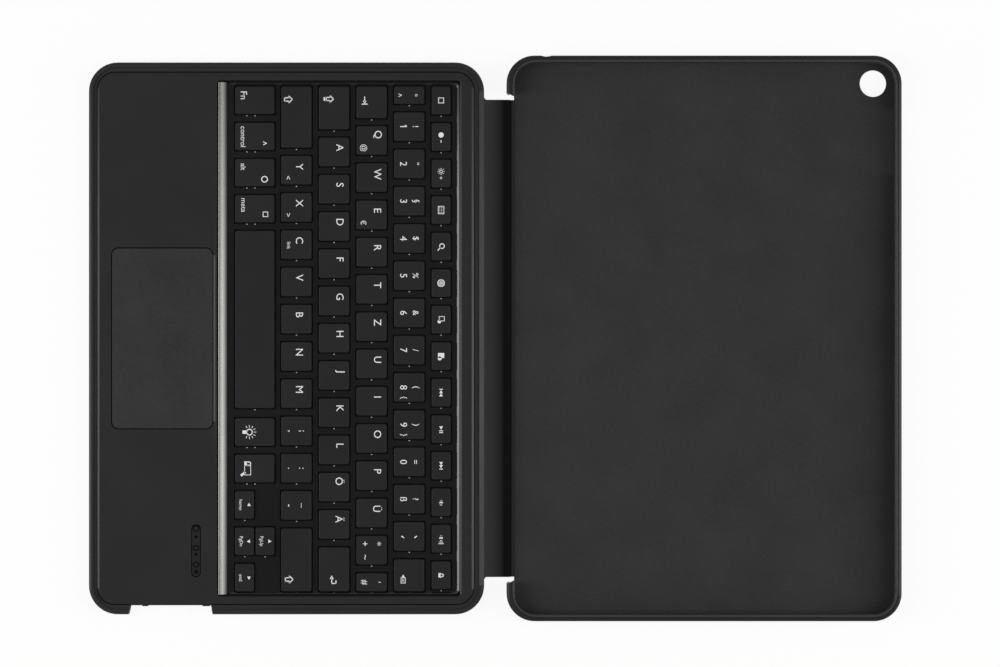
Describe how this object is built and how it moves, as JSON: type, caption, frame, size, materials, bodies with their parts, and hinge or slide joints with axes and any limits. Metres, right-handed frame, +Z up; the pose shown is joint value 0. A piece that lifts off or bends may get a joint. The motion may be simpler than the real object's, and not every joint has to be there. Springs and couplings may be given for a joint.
{
  "type": "tablet keyboard case",
  "caption": "Folding black tablet case lying open: keyboard deck with touchpad and bright bar, soft spine, and an empty shell with a lip that holds the device.",
  "frame": {"origin": "under the middle of the open case, on the table", "axes": "+X from the keyboard deck to the device shell, +Y to the typist's left, +Z up"},
  "size_m": [0.3648, 0.2536, 0.01],
  "materials": {
    "soft_black": "matte",
    "housing_black": "satin",
    "bright_metal": "polished",
    "lattice_black": "satin",
    "steel": "brushed",
    "film": "smooth",
    "dome_rubber": "matte",
    "touchpad_grey": "fine grain",
    "cell_wrap": "wrapped",
    "board_green": "satin",
    "smoked_window": "gloss",
    "lamp_white": "gloss",
    "shell_black": "satin",
    "lining_grey": "napped",
    "key_black": "satin"
  },
  "bodies": {
    "deck": {"deck_tray": "soft_black", "base_housing": "housing_black", "top_housing": "housing_black", "trim_bar": "bright_metal", "key_lattice": "lattice_black", "support_plate": "steel", "membrane_sheet": "film", "backlight_guide": "film", "rubber_domes": "dome_rubber", "touchpad_switch": "housing_black", "battery_cell": "cell_wrap", "main_board": "board_green", "charge_socket": "steel", "power_switch_body": "steel", "pair_switch": "steel", "indicator_lens": "smoked_window", "indicator_leds": "lamp_white", "housing_screws": "steel", "wake_magnets": "steel"},
    "touchpad": {"touchpad_plate": "touchpad_grey", "touchpad_carrier": "housing_black"},
    "power_slider": {"power_switch_knob": "housing_black"},
    "pair_key": {"pair_button": "housing_black"},
    "spine": {"spine_panel": "soft_black"},
    "shell": {"shell_back": "shell_black", "shell_bumper": "shell_black", "shell_lining": "lining_grey"},
    "key_fn": {"keycap_fn": "key_black"},
    "key_control": {"keycap_control": "key_black"},
    "key_alt": {"keycap_alt": "key_black"},
    "key_meta": {"keycap_meta": "key_black"},
    "key_space": {"keycap_space": "key_black"},
    "key_backlight": {"keycap_backlight": "key_black"},
    "key_touchpad_lock": {"keycap_touchpad_lock": "key_black"},
    "key_arrow_left": {"keycap_arrow_left": "key_black"},
    "key_arrow_down": {"keycap_arrow_down": "key_black"},
    "key_arrow_up": {"keycap_arrow_up": "key_black"},
    "key_arrow_right": {"keycap_arrow_right": "key_black"},
    "key_left_shift": {"keycap_left_shift": "key_black"},
    "key_right_shift": {"keycap_right_shift": "key_black"},
    "key_caps_lock": {"keycap_caps_lock": "key_black"},
    "key_enter": {"keycap_enter": "key_black"},
    "key_tab": {"keycap_tab": "key_black"},
    "key_hash": {"keycap_hash": "key_black"},
    "key_caret": {"keycap_caret": "key_black"},
    "key_backspace": {"keycap_backspace": "key_black"},
    "keys_bottom_letters": {"keycaps_bottom_letters": "key_black"},
    "keys_home_letters": {"keycaps_home_letters": "key_black"},
    "keys_top_letters": {"keycaps_top_letters": "key_black"},
    "keys_digits": {"keycaps_digits": "key_black"},
    "keys_function": {"keycaps_function": "key_black"}
  },
  "joints": [
    {"name": "deck_fold", "type": "hinge", "parent": "deck", "child": "spine", "pos_m": [-0.00382, 0, 0.00398], "axis": [0, -1, 0], "range_deg": [0, 90]},
    {"name": "shell_fold", "type": "hinge", "parent": "spine", "child": "shell", "pos_m": [0.00522, 0, 0.00398], "axis": [0, -1, 0], "range_deg": [0, 90]},
    {"name": "touchpad_click", "type": "hinge", "parent": "deck", "child": "touchpad", "pos_m": [-0.12793, 0, 0.0044], "axis": [0, -1, 0], "range_deg": [0, 0.6], "stiffness_Nm_per_rad": 3},
    {"name": "power_slide", "type": "slide", "parent": "deck", "child": "power_slider", "axis": [1, 0, 0], "range_m": [0, 0.002]},
    {"name": "pair_press", "type": "slide", "parent": "deck", "child": "pair_key", "axis": [0, 1, 0], "range_m": [0, 0.0004], "stiffness_N_per_m": 2000},
    {"name": "fn_press", "type": "slide", "parent": "deck", "child": "key_fn", "axis": [0, 0, -1], "range_m": [0, 0.0013], "stiffness_N_per_m": 420, "deforming": ["rubber_domes"]},
    {"name": "control_press", "type": "slide", "parent": "deck", "child": "key_control", "axis": [0, 0, -1], "range_m": [0, 0.0013], "stiffness_N_per_m": 420, "deforming": ["rubber_domes"]},
    {"name": "alt_press", "type": "slide", "parent": "deck", "child": "key_alt", "axis": [0, 0, -1], "range_m": [0, 0.0013], "stiffness_N_per_m": 420, "deforming": ["rubber_domes"]},
    {"name": "meta_press", "type": "slide", "parent": "deck", "child": "key_meta", "axis": [0, 0, -1], "range_m": [0, 0.0013], "stiffness_N_per_m": 420, "deforming": ["rubber_domes"]},
    {"name": "space_press", "type": "slide", "parent": "deck", "child": "key_space", "axis": [0, 0, -1], "range_m": [0, 0.0013], "stiffness_N_per_m": 420, "deforming": ["rubber_domes"]},
    {"name": "backlight_press", "type": "slide", "parent": "deck", "child": "key_backlight", "axis": [0, 0, -1], "range_m": [0, 0.0013], "stiffness_N_per_m": 420, "deforming": ["rubber_domes"]},
    {"name": "touchpad_lock_press", "type": "slide", "parent": "deck", "child": "key_touchpad_lock", "axis": [0, 0, -1], "range_m": [0, 0.0013], "stiffness_N_per_m": 420, "deforming": ["rubber_domes"]},
    {"name": "arrow_left_press", "type": "slide", "parent": "deck", "child": "key_arrow_left", "axis": [0, 0, -1], "range_m": [0, 0.0013], "stiffness_N_per_m": 420, "deforming": ["rubber_domes"]},
    {"name": "arrow_down_press", "type": "slide", "parent": "deck", "child": "key_arrow_down", "axis": [0, 0, -1], "range_m": [0, 0.0013], "stiffness_N_per_m": 420, "deforming": ["rubber_domes"]},
    {"name": "arrow_up_press", "type": "slide", "parent": "deck", "child": "key_arrow_up", "axis": [0, 0, -1], "range_m": [0, 0.0013], "stiffness_N_per_m": 420, "deforming": ["rubber_domes"]},
    {"name": "arrow_right_press", "type": "slide", "parent": "deck", "child": "key_arrow_right", "axis": [0, 0, -1], "range_m": [0, 0.0013], "stiffness_N_per_m": 420, "deforming": ["rubber_domes"]},
    {"name": "left_shift_press", "type": "slide", "parent": "deck", "child": "key_left_shift", "axis": [0, 0, -1], "range_m": [0, 0.0013], "stiffness_N_per_m": 420, "deforming": ["rubber_domes"]},
    {"name": "right_shift_press", "type": "slide", "parent": "deck", "child": "key_right_shift", "axis": [0, 0, -1], "range_m": [0, 0.0013], "stiffness_N_per_m": 420, "deforming": ["rubber_domes"]},
    {"name": "caps_lock_press", "type": "slide", "parent": "deck", "child": "key_caps_lock", "axis": [0, 0, -1], "range_m": [0, 0.0013], "stiffness_N_per_m": 420, "deforming": ["rubber_domes"]},
    {"name": "enter_press", "type": "slide", "parent": "deck", "child": "key_enter", "axis": [0, 0, -1], "range_m": [0, 0.0013], "stiffness_N_per_m": 420, "deforming": ["rubber_domes"]},
    {"name": "tab_press", "type": "slide", "parent": "deck", "child": "key_tab", "axis": [0, 0, -1], "range_m": [0, 0.0013], "stiffness_N_per_m": 420, "deforming": ["rubber_domes"]},
    {"name": "hash_press", "type": "slide", "parent": "deck", "child": "key_hash", "axis": [0, 0, -1], "range_m": [0, 0.0013], "stiffness_N_per_m": 420, "deforming": ["rubber_domes"]},
    {"name": "caret_press", "type": "slide", "parent": "deck", "child": "key_caret", "axis": [0, 0, -1], "range_m": [0, 0.0013], "stiffness_N_per_m": 420, "deforming": ["rubber_domes"]},
    {"name": "backspace_press", "type": "slide", "parent": "deck", "child": "key_backspace", "axis": [0, 0, -1], "range_m": [0, 0.0013], "stiffness_N_per_m": 420, "deforming": ["rubber_domes"]},
    {"name": "bottom_letters_press", "type": "slide", "parent": "deck", "child": "keys_bottom_letters", "axis": [0, 0, -1], "range_m": [0, 0.0013], "stiffness_N_per_m": 4200, "deforming": ["rubber_domes"]},
    {"name": "home_letters_press", "type": "slide", "parent": "deck", "child": "keys_home_letters", "axis": [0, 0, -1], "range_m": [0, 0.0013], "stiffness_N_per_m": 4620, "deforming": ["rubber_domes"]},
    {"name": "top_letters_press", "type": "slide", "parent": "deck", "child": "keys_top_letters", "axis": [0, 0, -1], "range_m": [0, 0.0013], "stiffness_N_per_m": 5040, "deforming": ["rubber_domes"]},
    {"name": "digits_press", "type": "slide", "parent": "deck", "child": "keys_digits", "axis": [0, 0, -1], "range_m": [0, 0.0013], "stiffness_N_per_m": 5040, "deforming": ["rubber_domes"]},
    {"name": "function_press", "type": "slide", "parent": "deck", "child": "keys_function", "axis": [0, 0, -1], "range_m": [0, 0.0013], "stiffness_N_per_m": 5880, "deforming": ["rubber_domes"]}
  ]
}
